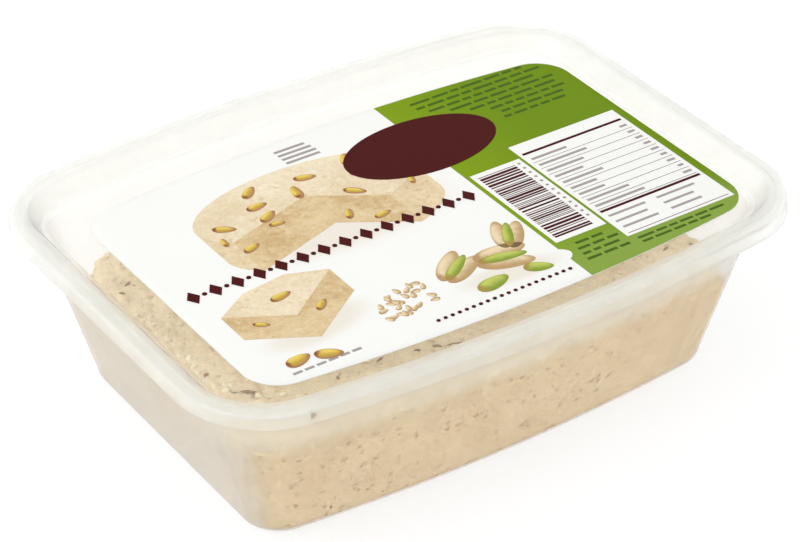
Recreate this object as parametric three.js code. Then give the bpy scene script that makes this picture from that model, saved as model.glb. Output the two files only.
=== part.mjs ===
// A shut plastic tub of pistachio halva: a thin tapered tub, the halva in it,
// a press-on lid with a sunk panel, and the label stuck on that panel.
// Millimetres, +Z up, +X along the tub. The origin is under the tub's middle.

import * as THREE from 'three';

// Plan outlines: rounded rectangles whose two long sides bulge outwards.
const sideCurve = 0.00096;      // bulge of a long side, per square of its half length
const cornerSteps = 11;
const longSideSteps = 12;
const shortSideSteps = 8;

// Tub.
const tubBase = { halfLength: 64.8, halfEnd: 40.8, corner: 8.8 };
const overhang = 7.1;           // the lid's rim stands out this far over the top of the wall
const wallThickness = 0.8;
const baseFillet = 2;
const footWidth = 5;            // the flat ring that the tub stands on
const footHeight = 0.6;
const shoulderHeight = 40.7;    // here the wall steps out to make room for the lid's plug
const shoulderWidth = 2;
const shoulderRise = 0.8;
const mouthFlare = 2.2;
const flangeWidth = 1.7;
const flangeTop = 46.3;
const flangeThickness = 0.9;

// Lid.
const rimPlan = { halfLength: 82.5, halfEnd: 55.5, corner: 19.3 };
const rimTop = 47.7;
const rimWidth = 5;
const rimEdgeRadius = 0.8;
const rimStep = 0.35;           // the outer half of the rim lies this much lower
const skirtFoot = 44.1;
const skirtFlare = 0.4;
const lidThickness = 0.7;
const panelTop = 43.4;
const panelInset = 2.2;         // slope of the wall from the rim down to the panel
const panelFillet = 0.9;

// Label.
const labelPlan = { halfLength: 69.2, halfEnd: 40.9, corner: 8.4 };
const labelCentre = { x: 3.8, y: -1.8 };
const labelThickness = 0.2;
const labelGap = 0.1;

// Halva.
const gap = 0.3;                // between the halva and the tub
const halvaTop = 30.6;
const frontContact = 28.5;      // height up to which the halva touches the front wall
const endContact = 22;          // and the same at the ends and at the back
const frontPull = 0.8;          // how far its top edge stands back from the wall
const endPull = 4.4;
const edgeRound = 1.4;
const topRings = 17;

// Points around a plan outline, anticlockwise from the right end's middle.
function planPoints(plan) {
  const { halfLength, halfEnd, corner } = plan;
  const bulge = sideCurve * halfLength * halfLength;
  const quarters = [[1, 1, 0], [-1, 1, 1], [-1, -1, 2], [1, -1, 3]];
  const plain = [];
  for (const [signX, signY, turn] of quarters) {
    for (let step = 0; step <= cornerSteps; step += 1) {
      const angle = (turn + step / cornerSteps) * Math.PI / 2;
      const x = signX * (halfLength - corner) + corner * Math.cos(angle);
      const y = signY * (halfEnd - corner) + corner * Math.sin(angle);
      plain.push([x, y]);
    }
    const next = quarters[(turn + 1) % 4];
    const [x0, y0] = plain[plain.length - 1];
    const startAngle = next[2] * Math.PI / 2;
    const x1 = next[0] * (halfLength - corner) + corner * Math.cos(startAngle);
    const y1 = next[1] * (halfEnd - corner) + corner * Math.sin(startAngle);
    const steps = turn % 2 === 0 ? longSideSteps : shortSideSteps;
    for (let step = 1; step < steps; step += 1) {
      const part = step / steps;
      plain.push([x0 + (x1 - x0) * part, y0 + (y1 - y0) * part]);
    }
  }
  return plain.map(([x, y]) => {
    const along = 1 - (x / halfLength) ** 2;
    return [x, y + bulge * along * y / halfEnd];
  });
}

// The same outline moved inwards (or outwards, for a negative inset).
function insetPlan(plan, inset) {
  return {
    halfLength: plan.halfLength - inset,
    halfEnd: plan.halfEnd - inset,
    corner: Math.max(plan.corner - inset, 1),
  };
}

function ring(plan, height) {
  return planPoints(plan).map(([x, y]) => [x, y, height]);
}

// A closed solid skinned over rings of equal length, from the middle of its underside, out and
// around its edge, to the middle of its top.
function skin(rings, bottomCentre, topCentre) {
  const count = rings[0].length;
  const positions = [bottomCentre, ...rings.flat(), topCentre].flat();
  const topIndex = rings.length * count + 1;
  const index = [];
  for (let i = 0; i < count; i += 1) {
    const j = (i + 1) % count;
    index.push(0, 1 + j, 1 + i);
    for (let row = 0; row < rings.length - 1; row += 1) {
      const low = 1 + row * count;
      const high = low + count;
      index.push(low + i, low + j, high + j, low + i, high + j, high + i);
    }
    const last = 1 + (rings.length - 1) * count;
    index.push(last + i, last + j, topIndex);
  }
  const geometry = new THREE.BufferGeometry();
  geometry.setAttribute('position', new THREE.Float32BufferAttribute(positions, 3));
  geometry.setIndex(index);
  geometry.computeVertexNormals();
  return geometry;
}

// Outline of the tub's outer wall at a height: it widens evenly from the base to the lid.
function tubPlan(height) {
  const wallTop = insetPlan(rimPlan, overhang);
  const mix = (key) => tubBase[key] + (wallTop[key] - tubBase[key]) * height / shoulderHeight;
  return { halfLength: mix('halfLength'), halfEnd: mix('halfEnd'), corner: mix('corner') };
}

// Heights and insets of a rounded bottom edge, from its foot up.
function filletSteps(radius, steps) {
  return Array.from({ length: steps + 1 }, (_, step) => {
    const angle = (step / steps) * Math.PI / 2;
    return { height: radius * (1 - Math.cos(angle)), inset: radius * (1 - Math.sin(angle)) };
  });
}

// The tub: a raised floor on a foot ring, tapered walls, a shoulder for the lid's plug, a flange.
function tubGeometry() {
  const floorTop = footHeight + wallThickness;
  const shoulder = insetPlan(tubPlan(shoulderHeight), -shoulderWidth);
  const mouth = insetPlan(shoulder, -mouthFlare);
  const flange = insetPlan(mouth, -flangeWidth);
  const outside = [
    ring(insetPlan(tubPlan(0), baseFillet + footWidth), footHeight),
    ring(insetPlan(tubPlan(0), baseFillet + footWidth - footHeight), 0),
  ];
  for (const { height, inset } of filletSteps(baseFillet, 4)) {
    outside.push(ring(insetPlan(tubPlan(height), inset), height));
  }
  outside.push(
    ring(tubPlan(shoulderHeight), shoulderHeight),
    ring(shoulder, shoulderHeight + shoulderRise),
    ring(mouth, flangeTop - flangeThickness),
    ring(flange, flangeTop - flangeThickness),
    ring(flange, flangeTop),
  );
  const inside = [
    ring(insetPlan(mouth, wallThickness), flangeTop),
    ring(insetPlan(shoulder, wallThickness), shoulderHeight + shoulderRise + wallThickness),
    ring(insetPlan(tubPlan(shoulderHeight), wallThickness), shoulderHeight + wallThickness),
  ];
  const innerFillet = filletSteps(baseFillet - wallThickness / 2, 3).reverse();
  for (const { height, inset } of innerFillet) {
    const level = floorTop + height;
    inside.push(ring(insetPlan(tubPlan(level), wallThickness + inset), level));
  }
  return skin([...outside, ...inside], [0, 0, footHeight], [0, 0, floorTop]);
}

// The lid: a skirt that grips the flange, a flat rim, and a panel sunk inside the tub's mouth.
function lidGeometry() {
  const recess = insetPlan(rimPlan, rimWidth);
  const panel = insetPlan(recess, panelInset);
  const underside = [
    ring(insetPlan(panel, -lidThickness / 2), panelTop - lidThickness),
    ring(insetPlan(panel, -lidThickness), panelTop),
    ring(insetPlan(recess, -lidThickness), rimTop - lidThickness - rimEdgeRadius),
    ring(insetPlan(recess, -lidThickness - rimEdgeRadius), rimTop - lidThickness),
    ring(insetPlan(rimPlan, lidThickness + rimEdgeRadius), rimTop - lidThickness - rimStep),
    ring(insetPlan(rimPlan, lidThickness), rimTop - lidThickness - rimStep - rimEdgeRadius),
    ring(insetPlan(rimPlan, lidThickness - skirtFlare), skirtFoot),
  ];
  const outerEdge = filletSteps(rimEdgeRadius, 3).reverse().map(({ height, inset }) => {
    const level = rimTop - rimStep - height;
    return { level, inset };
  });
  const topside = [ring(insetPlan(rimPlan, -skirtFlare), skirtFoot)];
  for (const { level, inset } of outerEdge) {
    topside.push(ring(insetPlan(rimPlan, inset), level));
  }
  const stepFrom = rimWidth * 0.5;
  topside.push(
    ring(insetPlan(rimPlan, stepFrom), rimTop - rimStep),
    ring(insetPlan(rimPlan, stepFrom + rimStep), rimTop),
    ring(insetPlan(recess, -rimEdgeRadius), rimTop),
    ring(insetPlan(recess, -rimEdgeRadius * 0.3), rimTop - rimEdgeRadius * 0.3),
    ring(recess, rimTop - rimEdgeRadius),
    ring(panel, panelTop + panelFillet),
    ring(insetPlan(panel, panelFillet * 0.3), panelTop + panelFillet * 0.3),
    ring(insetPlan(panel, panelFillet), panelTop),
  );
  return skin([...underside, ...topside], [0, 0, panelTop - lidThickness], [0, 0, panelTop]);
}

function labelGeometry() {
  const bottom = panelTop + labelGap;
  const top = bottom + labelThickness;
  const place = ([x, y, z]) => [x + labelCentre.x, y + labelCentre.y, z];
  return skin(
    [ring(labelPlan, bottom).map(place), ring(labelPlan, top).map(place)],
    place([0, 0, bottom]),
    place([0, 0, top]),
  );
}

// Low swells of the halva's spooned top, in millimetres.
function topRelief(x, y) {
  const broad = 0.35 * Math.sin(0.11 * x + 1.3) * Math.sin(0.13 * y + 0.4);
  const middle = 0.3 * Math.sin(0.29 * x - 0.17 * y + 2.1);
  const fine = 0.25 * Math.sin(0.47 * x + 0.8) * Math.sin(0.52 * y + 1.9);
  return broad + middle + fine;
}

// The halva: it fills the tub's taper, then its crumbly shoulder draws back from the wall.
function halvaGeometry() {
  const floor = footHeight + wallThickness + gap;
  const wallInset = wallThickness + gap;
  const bottomRound = baseFillet;
  const rings = [];
  for (const { height, inset } of filletSteps(bottomRound, 3)) {
    const level = floor + height;
    rings.push(ring(insetPlan(tubPlan(level), wallInset + inset), level));
  }
  // How much of the front's close contact a point has: 1 on the front side, 0 elsewhere.
  const frontShare = planPoints(tubPlan(endContact)).map(([x, y]) => {
    const plan = tubPlan(endContact);
    const front = THREE.MathUtils.smoothstep(-y / plan.halfEnd, 0.75, 1.02);
    return front * (1 - THREE.MathUtils.smoothstep(x / plan.halfLength, 0.8, 0.97));
  });
  const ends = planPoints(insetPlan(tubPlan(endContact), wallInset));
  const front = planPoints(insetPlan(tubPlan(frontContact), wallInset));
  const contact = frontShare.map((share, i) => {
    const mix = (a, b) => a + (b - a) * share;
    const x = mix(ends[i][0], front[i][0]);
    const y = mix(ends[i][1], front[i][1]);
    return [x, y, mix(endContact, frontContact)];
  });
  rings.push(ring(insetPlan(tubPlan(endContact / 2), wallInset), endContact / 2));
  rings.push(contact);
  // The top edge stands back from the wall; a little unevenness makes it crumbly.
  const edge = contact.map(([x, y, z], i) => {
    const pull = endPull + (frontPull - endPull) * frontShare[i];
    const rough = 0.5 * Math.sin(i * 1.7) + 0.4 * Math.sin(i * 0.61 + 2);
    const reach = Math.hypot(x, y);
    const scale = 1 - (pull + rough * (1 - frontShare[i])) / reach;
    return [x * scale, y * scale, Math.max(z, halvaTop - edgeRound)];
  });
  rings.push(edge);
  for (let row = 0; row < topRings; row += 1) {
    const scale = (1 - row / topRings) * (1 - edgeRound / tubBase.halfEnd);
    rings.push(edge.map(([x, y]) => [x * scale, y * scale, halvaTop + topRelief(x * scale, y * scale)]));
  }
  return skin(rings, [0, 0, floor], [0, 0, halvaTop + topRelief(0, 0)]);
}

function part(name, geometry, color, roughness) {
  const material = new THREE.MeshStandardMaterial({ color, roughness, metalness: 0 });
  const mesh = new THREE.Mesh(geometry, material);
  mesh.name = name;
  return mesh;
}

const tubOfHalva = new THREE.Group();
tubOfHalva.add(
  part('tub', tubGeometry(), 0xeae7df, 0.35),
  part('halva', halvaGeometry(), 0xdec8a5, 0.8),
  part('lid', lidGeometry(), 0xf1f0ee, 0.35),
  part('label', labelGeometry(), 0xf4f2ea, 0.4),
);

export default tubOfHalva;
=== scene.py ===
import math
import random

import bmesh
import bpy
from mathutils import Matrix, Vector, noise


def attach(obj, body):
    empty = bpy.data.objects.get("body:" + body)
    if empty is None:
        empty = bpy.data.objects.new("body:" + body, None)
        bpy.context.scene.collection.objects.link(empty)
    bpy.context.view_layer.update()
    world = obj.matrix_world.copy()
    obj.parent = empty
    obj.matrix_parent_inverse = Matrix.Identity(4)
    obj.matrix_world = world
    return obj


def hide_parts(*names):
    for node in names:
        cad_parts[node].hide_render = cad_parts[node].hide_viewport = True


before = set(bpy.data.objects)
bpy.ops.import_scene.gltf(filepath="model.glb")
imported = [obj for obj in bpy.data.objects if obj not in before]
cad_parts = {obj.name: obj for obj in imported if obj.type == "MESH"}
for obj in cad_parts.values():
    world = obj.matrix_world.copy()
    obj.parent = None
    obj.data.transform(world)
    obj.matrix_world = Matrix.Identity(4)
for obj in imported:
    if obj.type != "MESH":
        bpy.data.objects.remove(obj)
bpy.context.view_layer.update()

# ---- Tub ----
# Injection-moulded polypropylene, thin and milky: tapered walls on a foot ring, a shoulder that
# makes room for the lid's sunk panel, and a flange that the lid's skirt grips. It is one skin,
# extruded from outline to outline up the outside and down the inside.
mm = 0.001
side_bow = 0.00096        # how far a long side bows out, per square of its half length, in mm
rim_plan = (82.5, 55.5, 19.3)      # half length, half width at the ends, corner radius
rim_overhang = 7.1        # of the lid's rim past the top of the tapered wall
tub_foot_plan = (64.8, 40.8, 8.8)
foot_ring_inset = 6.4
tub_wall = 0.8
tub_height = 40.7         # of the tapered wall, up to the shoulder
floor_under, floor_top = 0.6, 1.4
shoulder_top, flange_under, flange_top = 41.5, 45.4, 46.3
corner_steps, side_steps, end_steps = 18, 18, 10


def inset(plan, by):
    half_length, half_end, corner = plan
    return half_length - by, half_end - by, max(corner - by, 0.8)


def tub_plan(height):
    top = inset(rim_plan, rim_overhang)
    return tuple(a + (b - a) * height / tub_height for a, b in zip(tub_foot_plan, top))


def ring(plan, height, middle=(0, 0)):
    """Points round a rounded rectangle with bowed long sides, from the right end's middle on."""
    half_length, half_end, corner = plan
    bow = side_bow * half_length ** 2
    reach_x, reach_y = half_length - corner, half_end - corner
    points = []
    for turn, (sx, sy) in enumerate(((1, 1), (-1, 1), (-1, -1), (1, -1))):
        for step in range(corner_steps + 1):
            angle = (turn + step / corner_steps) * math.pi / 2
            points.append((sx * reach_x + corner * math.cos(angle),
                           sy * reach_y + corner * math.sin(angle)))
        x, y = points[-1]
        along_side = turn % 2 == 0
        steps = side_steps if along_side else end_steps
        for step in range(1, steps):
            part = step / steps
            if along_side:
                points.append((x - 2 * sx * reach_x * part, y))
            else:
                points.append((x, y - 2 * sy * reach_y * part))
    return [Vector((middle[0] + x,
                    middle[1] + y + bow * (1 - (x / half_length) ** 2) * y / half_end,
                    height)) * mm for x, y in points]


def fillet(radius, steps):
    """Height and inset of each step round a bottom edge, from its foot up."""
    angles = [step / steps * math.pi / 2 for step in range(steps + 1)]
    return [(radius * (1 - math.cos(a)), radius * (1 - math.sin(a))) for a in angles]


def start_from(operator, name, **settings):
    bpy.ops.object.select_all(action="DESELECT")
    operator(**settings)
    piece = bpy.context.object
    piece.name = name
    piece.data.name = name
    return piece


def skin(name, rings, edge_round=0.0):
    """A circle laid on the first outline, extruded to each next one, and closed at both ends."""
    piece = start_from(bpy.ops.mesh.primitive_circle_add, name, vertices=len(rings[0]), radius=1)
    bpy.ops.object.mode_set(mode="EDIT")
    bpy.ops.mesh.select_mode(type="EDGE")
    bpy.ops.mesh.select_all(action="SELECT")
    mesh = bmesh.from_edit_mesh(piece.data)
    mesh.verts.ensure_lookup_table()
    for vertex, place in zip(mesh.verts, rings[0]):
        vertex.co = place
    last = {tuple(vertex.co): i for i, vertex in enumerate(mesh.verts)}
    for places in rings[1:]:
        bpy.ops.mesh.extrude_edges_move()
        mesh = bmesh.from_edit_mesh(piece.data)
        fresh = [(last[tuple(v.co)], v) for v in mesh.verts if v.select]
        last = {}
        for i, vertex in fresh:
            vertex.co = places[i]
            last[tuple(vertex.co)] = i
        bmesh.update_edit_mesh(piece.data)
    bpy.ops.mesh.edge_face_add()
    bpy.ops.mesh.poke()
    bpy.ops.mesh.select_all(action="DESELECT")
    bpy.ops.mesh.select_non_manifold()
    bpy.ops.mesh.edge_face_add()
    bpy.ops.mesh.poke()
    bpy.ops.mesh.select_all(action="SELECT")
    bpy.ops.mesh.normals_make_consistent(inside=False)
    bpy.ops.object.mode_set(mode="OBJECT")
    if edge_round:
        bevel = piece.modifiers.new("rounded edges", "BEVEL")
        bevel.width = edge_round * mm
        bevel.segments = 2
        bevel.limit_method = "ANGLE"
        bevel.angle_limit = math.radians(32)
        bpy.ops.object.modifier_apply(modifier=bevel.name)
    bpy.ops.object.shade_smooth_by_angle(angle=math.radians(40))
    return piece


def finish_piece(piece, materials, replaced=None):
    for material in materials:
        piece.data.materials.append(material)
    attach(piece, "root")
    if replaced:
        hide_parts(replaced)


shoulder_plan = inset(tub_plan(tub_height), -2)
mouth_plan = inset(shoulder_plan, -2.2)
flange_plan = inset(mouth_plan, -1.7)
tub_rings = [ring(inset(tub_foot_plan, foot_ring_inset + 1.2), floor_under),
             ring(inset(tub_foot_plan, foot_ring_inset + 0.6), floor_under),
             ring(inset(tub_foot_plan, foot_ring_inset), 0.0)]
tub_rings += [ring(inset(tub_plan(h), i), h) for h, i in fillet(2, 7)]
tub_rings += [ring(tub_plan(h), h) for h in (2.6, 8, 14, 20, 26, 32, 37, 40.2, tub_height)]
tub_rings += [ring(shoulder_plan, shoulder_top), ring(mouth_plan, flange_under),
              ring(flange_plan, flange_under), ring(flange_plan, flange_top),
              ring(inset(mouth_plan, tub_wall), flange_top),
              ring(inset(shoulder_plan, tub_wall), shoulder_top + tub_wall)]
tub_rings += [ring(inset(tub_plan(h), tub_wall), h) for h in (41.4, 38, 32, 26, 20, 14, 8, 3.6)]
tub_rings += [ring(inset(tub_plan(floor_top + h), tub_wall + i), floor_top + h)
              for h, i in reversed(fillet(1.6, 5))]
tub_rings += [ring(inset(tub_foot_plan, 3.4), floor_top)]
tub_shell = skin("tub_shell", tub_rings, edge_round=0.3)


def add(tree, kind, inputs=None, **settings):
    """A shader node; an input takes a value, or another node's output that it is wired to."""
    made = tree.nodes.new("ShaderNode" + kind)
    for key, value in settings.items():
        setattr(made, key, value)
    for key, value in (inputs or {}).items():
        if isinstance(value, bpy.types.NodeSocket):
            tree.links.new(value, made.inputs[key])
        else:
            made.inputs[key].default_value = value
    return made


def maths(tree, operation, a, b=0.0, clamp=False):
    made = add(tree, "Math", {0: a, 1: b}, operation=operation, use_clamp=clamp)
    return made.outputs[0]


def between(tree, value, low, high, start=0.0, end=1.0):
    """Runs smoothly from start, where value is low, to end, where it is high."""
    made = add(tree, "MapRange", {"Value": value, "From Min": low, "From Max": high,
                                  "To Min": start, "To Max": end},
               interpolation_type="SMOOTHSTEP")
    return made.outputs["Result"]


def mixed(tree, share, a, b):
    made = add(tree, "Mix", {0: share, 6: a, 7: b}, data_type="RGBA")
    return made.outputs[2]


def spot_on_piece(tree):
    return add(tree, "TexCoord").outputs["Object"]


def mottling(tree, place, scale, detail, roughness=0.5):
    made = add(tree, "TexNoise", {"Vector": place, "Scale": scale, "Detail": detail,
                                  "Roughness": roughness})
    return made.outputs["Fac"]


def relief(tree, height, depth, strength):
    made = add(tree, "Bump", {"Height": height, "Distance": depth, "Strength": strength})
    return made.outputs["Normal"]


def effect(name, inputs, outputs):
    """An empty shader node group with named inputs and outputs."""
    group = bpy.data.node_groups.new(name, "ShaderNodeTree")
    for label, value in inputs.items():
        kind = "NodeSocketColor" if isinstance(value, tuple) else "NodeSocketFloat"
        socket = group.interface.new_socket(label, in_out="INPUT", socket_type=kind)
        socket.default_value = value
    for label, kind in outputs.items():
        group.interface.new_socket(label, in_out="OUTPUT", socket_type="NodeSocket" + kind)
    given = group.nodes.new("NodeGroupInput").outputs
    result = group.nodes.new("NodeGroupOutput").inputs
    return group, given, result


def new_material(name):
    material = bpy.data.materials.new(name)
    material.use_nodes = True
    tree = material.node_tree
    return material, tree, tree.nodes["Principled BSDF"]


def frosting_effect():
    """The milky look of polypropylene, in soft clouds, with a fine moulded grain."""
    group, given, result = effect(
        "Frosting", {"Haze": 0.2, "Cloudiness": 0.2, "Cloud Scale": 60.0, "Roughness": 0.35,
                     "Grain Scale": 1800.0, "Grain Depth": 0.00003},
        {"Haze": "Float", "Roughness": "Float", "Normal": "Vector"})
    place = spot_on_piece(group)
    cloud = mottling(group, place, given["Cloud Scale"], 3.0)
    cloud = maths(group, "SUBTRACT", cloud, 0.5)
    swing = maths(group, "MULTIPLY", cloud, given["Cloudiness"])
    lift = maths(group, "ADD", maths(group, "MULTIPLY", swing, 2.0), 1.0)
    group.links.new(maths(group, "MULTIPLY", lift, given["Haze"], clamp=True), result["Haze"])
    uneven = maths(group, "MULTIPLY", cloud, 0.1)
    group.links.new(maths(group, "ADD", uneven, given["Roughness"], clamp=True),
                    result["Roughness"])
    grain = mottling(group, place, given["Grain Scale"], 2.0)
    group.links.new(relief(group, grain, given["Grain Depth"], 0.6), result["Normal"])
    return group


def dry_wall(tree):
    """None where the halva's oil wets the long walls, all at the ends and above the halva. The
    border wanders a little, and the right end of the long walls is only half wetted."""
    wander = 0.002
    ends_from, ends_to = 0.0560, 0.0650        # along a long wall's foot, from its middle
    oil_low, oil_high = 0.0230, 0.0340         # how high the oil climbs the front wall,
    less_at_back = 0.006                       # and how much less the back wall
    right_from, right_to, right_share = 0.030, 0.062, 0.35
    spot = spot_on_piece(tree)
    place = add(tree, "SeparateXYZ", {0: spot}).outputs
    ragged = between(tree, mottling(tree, spot, 110.0, 2.0), 0.25, 0.75, -wander, wander)
    taper = (rim_plan[0] - rim_overhang - tub_foot_plan[0]) / tub_height
    along = maths(tree, "ABSOLUTE", place[0])
    along = maths(tree, "SUBTRACT", along, maths(tree, "MULTIPLY", place[2], taper))
    along = maths(tree, "ADD", along, maths(tree, "MULTIPLY", ragged, 0.5))
    at_end = between(tree, along, ends_from, ends_to)
    height = maths(tree, "ADD", place[2], between(tree, place[1], 0.01, 0.03, 0.0, less_at_back))
    above = between(tree, maths(tree, "ADD", height, ragged), oil_low, oil_high)
    half_wetted = between(tree, place[0], right_from, right_to, 0.0, right_share)
    return maths(tree, "MAXIMUM", maths(tree, "MAXIMUM", at_end, above), half_wetted)


def polypropylene(name, haze, roughness, ior, through, cloudiness=0.2, grain_depth=0.00003,
                  wet_haze=None):
    """Haze is the share of light that a surface scatters, through the part of it that goes on
    into the pack, and wet_haze what is left of the haze where the halva wets the wall."""
    material, tree, surface = new_material(name)
    frost = add(tree, "Group", {"Haze": haze, "Cloudiness": cloudiness, "Roughness": roughness,
                                "Grain Depth": grain_depth}, node_tree=frosting)
    veil = frost.outputs["Haze"]
    if wet_haze is not None:
        wetness = maths(tree, "SUBTRACT", 1.0, dry_wall(tree))
        veil = maths(tree, "SUBTRACT", veil, maths(tree, "MULTIPLY", wetness, haze - wet_haze),
                     clamp=True)
    tree.links.new(veil, surface.inputs["Alpha"])
    tree.links.new(frost.outputs["Roughness"], surface.inputs["Roughness"])
    tree.links.new(frost.outputs["Normal"], surface.inputs["Normal"])
    surface.inputs["Base Color"].default_value = (0.985, 0.987, 0.95, 1)
    surface.inputs["IOR"].default_value = ior
    surface.inputs["Transmission Weight"].default_value = through
    surface.inputs["Coat Weight"].default_value = 0.5
    surface.inputs["Coat Roughness"].default_value = 0.08
    return material


frosting = frosting_effect()
tub_outside = polypropylene("satin polypropylene", 0.72, 0.38, 1.3, 0.85, cloudiness=0.05,
                            wet_haze=0.30)
tub_inside = polypropylene("dry frosted polypropylene", 0.56, 0.45, 1.3, 0.85, wet_haze=0.0)
finish_piece(tub_shell, [tub_outside, tub_inside], "tub")
for face in tub_shell.data.polygons:
    height = face.center.z / mm
    outwards = Vector((face.center.x, face.center.y * 1.6, 0)).dot(face.normal)
    on_floor = face.normal.z > 0.3 and floor_top - 0.1 < height < 8
    on_inner_wall = outwards < 0 and height > 2
    face.material_index = 1 if on_floor or on_inner_wall else 0

# ---- Halva ----
# Sesame halva pressed into the tub: a dense, crumbly block that clings to the front and back
# walls, stands a little off the ends, and draws back from the wall near its top. The block is
# extruded up its outline, remeshed finely, and its surface is then broken up.
halva_top = 30.6
pressed_gap = 0.45        # from the tub's outer face: just inside the wall
loose_gap = 1.25          # at the ends: a little clear of the wall
halva_foot, over_floor = 0.4, 0.95
wall_contact = 22         # how high the halva touches the walls,
front_contact = 28.5      # and how high it does along the front
drawn_back = 4.5          # how far its top stands back from the walls
# heights where the lower tint fades out: oil and painted side shade below, dry above
wetted_below, dry_above = 0.0265, 0.0295


def halva_ring(height, extra=0.0):
    """The halva's outline at a height: in the wall along the sides, clear of it at the ends."""
    plan = tub_plan(height)
    tight = ring(inset(plan, pressed_gap + extra), height)
    loose = ring(inset(plan, loose_gap + extra), height)
    points = []
    for near, far in zip(tight, loose):
        share = (abs(near.x) / mm - (plan[0] - plan[2])) / plan[2]
        share = min(max((share - 0.5) / 0.45, 0), 1)
        points.append(near.lerp(far, share * share * (3 - 2 * share)))
    return points


def smooth(value, low, high):
    part = min(max((value - low) / (high - low), 0), 1)
    return part * part * (3 - 2 * part)


halva_rings = [ring(inset(tub_foot_plan, 8.6), over_floor),
               ring(inset(tub_foot_plan, 7.2), over_floor),
               ring(inset(tub_foot_plan, 6.2), halva_foot)]
halva_rings += [halva_ring(halva_foot + h, i) for h, i in fillet(1.6, 4)]
halva_rings += [halva_ring(h) for h in (6, 11, 16)]
low_contact, high_contact = halva_ring(wall_contact), halva_ring(front_contact)
front_share = []
for point in low_contact:
    left = 1 - smooth(point.x / mm, -66, -56)
    front = smooth(-point.y / mm / 45, 0.75 - 0.3 * left, 1.02 - 0.3 * left)
    front_share.append(front * (1 - smooth(point.x / mm / 70.5, 0.8, 0.97)))
contact = [a.lerp(b, share) for a, b, share in zip(low_contact, high_contact, front_share)]
halva_rings.append(contact)
for lift, pull_more in ((0.2, -0.9), (0.5, -0.1), (0.9, 0.7), (1.0, 1.9)):
    places = []
    for point, share in zip(contact, front_share):
        rough = 0.7 * noise.noise(point * 130) + 0.5 * noise.noise(point * 400)
        pull = (drawn_back - 4.0 * share) + rough * (1 - 0.7 * share) + pull_more
        reach = math.hypot(point.x, point.y) / mm
        kept = 1 - max(pull, 0.2) / reach
        low = point.z / mm
        height = low + (halva_top - 0.2 - low) * lift
        places.append(Vector((point.x * kept, point.y * kept, height * mm)))
    halva_rings.append(places)
edge = halva_rings[-1]
for scale in (0.93, 0.75, 0.5, 0.25):
    halva_rings.append([Vector((p.x * scale, p.y * scale, halva_top * mm)) for p in edge])
halva_block = skin("halva_block", halva_rings)
remesh = halva_block.modifiers.new("fine mesh", "REMESH")
remesh.mode = "VOXEL"
remesh.voxel_size = 0.68 * mm
bpy.ops.object.modifier_apply(modifier=remesh.name)

# Hollows and cracks that the top shows: place, half length, half width, turn, depth, in mm.
torn_spots = [(-60.1, -24.3, 2.6, 0.7, -35, 1.3), (-57.6, -26.6, 1.8, 0.6, 20, 1.0),
              (-53.5, -33.5, 4.6, 0.7, -20, 1.1), (-62.9, -13.7, 1.4, 0.8, 10, 1.0),
              (-8.4, -35.8, 5.2, 0.8, -18, 1.4), (-24.0, -37.5, 3.6, 0.6, -8, 0.9),
              (62.9, -34.2, 2.0, 1.2, 30, 1.8), (44.0, -36.5, 3.8, 0.6, -14, 1.0),
              (24.5, -37.4, 4.2, 0.6, 6, 0.9), (-63.0, 21.0, 3.0, 0.6, 40, 0.8),
              (-62.2, 4.0, 2.4, 0.6, -55, 0.9), (-63.4, 31.0, 2.2, 0.6, 15, 0.8)]
draw = random.Random(41)
for _ in range(26):
    torn_spots.append((draw.uniform(-58, 60), draw.uniform(-36, 38), draw.uniform(2, 5),
                       draw.uniform(0.5, 0.9), draw.uniform(0, 180), draw.uniform(0.7, 1.3)))


def torn_depth(x, y):
    depth = 0.0
    for cx, cy, half_length, half_width, turn, deep in torn_spots:
        dx, dy = x - cx, y - cy
        if abs(dx) > 7 or abs(dy) > 7:
            continue
        angle = math.radians(turn)
        along = dx * math.cos(angle) + dy * math.sin(angle)
        across = dy * math.cos(angle) - dx * math.sin(angle)
        across += 0.8 * noise.noise(Vector((x, y, cx)) * 0.45)
        reach = (along / half_length) ** 2 + (across / half_width) ** 2
        depth = max(depth, deep * (1 - smooth(reach, 0.15, 1.0)))
    return depth


def wall_distance(place, plan):
    """How far a place lies outside an outline, in mm, and the way straight out of it."""
    half_length, half_end, corner = plan
    bow = side_bow * half_length ** 2 * (1 - (place.x / half_length) ** 2)
    over_x = abs(place.x) - (half_length - corner)
    over_y = abs(place.y) - (half_end + bow - corner)
    way = Vector((over_x, over_y, 0))
    reach = way.length
    if min(over_x, over_y) <= 0:
        way = Vector((1, 0, 0)) if over_x > over_y else Vector((0, 1, 0))
        reach = max(over_x, over_y)
    way.x, way.y = math.copysign(way.x, place.x), math.copysign(way.y, place.y)
    return reach - corner, way.normalized()


def kept_in(place):
    """Eases a place in mm back to where halva may lie: in the long walls, clear of the ends."""
    in_wall, off_ends, softness = 0.1, 0.62, 0.12
    plan = inset(tub_plan(place.z), pressed_gap)
    beyond, way = wall_distance(place, plan)
    along = abs(place.x) - (plan[0] - tub_foot_plan[0])
    over = beyond - in_wall + off_ends * smooth(along, 60.0, 63.5)
    return place - way * softness * math.log1p(math.exp(min(over / softness, 60)))


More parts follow.
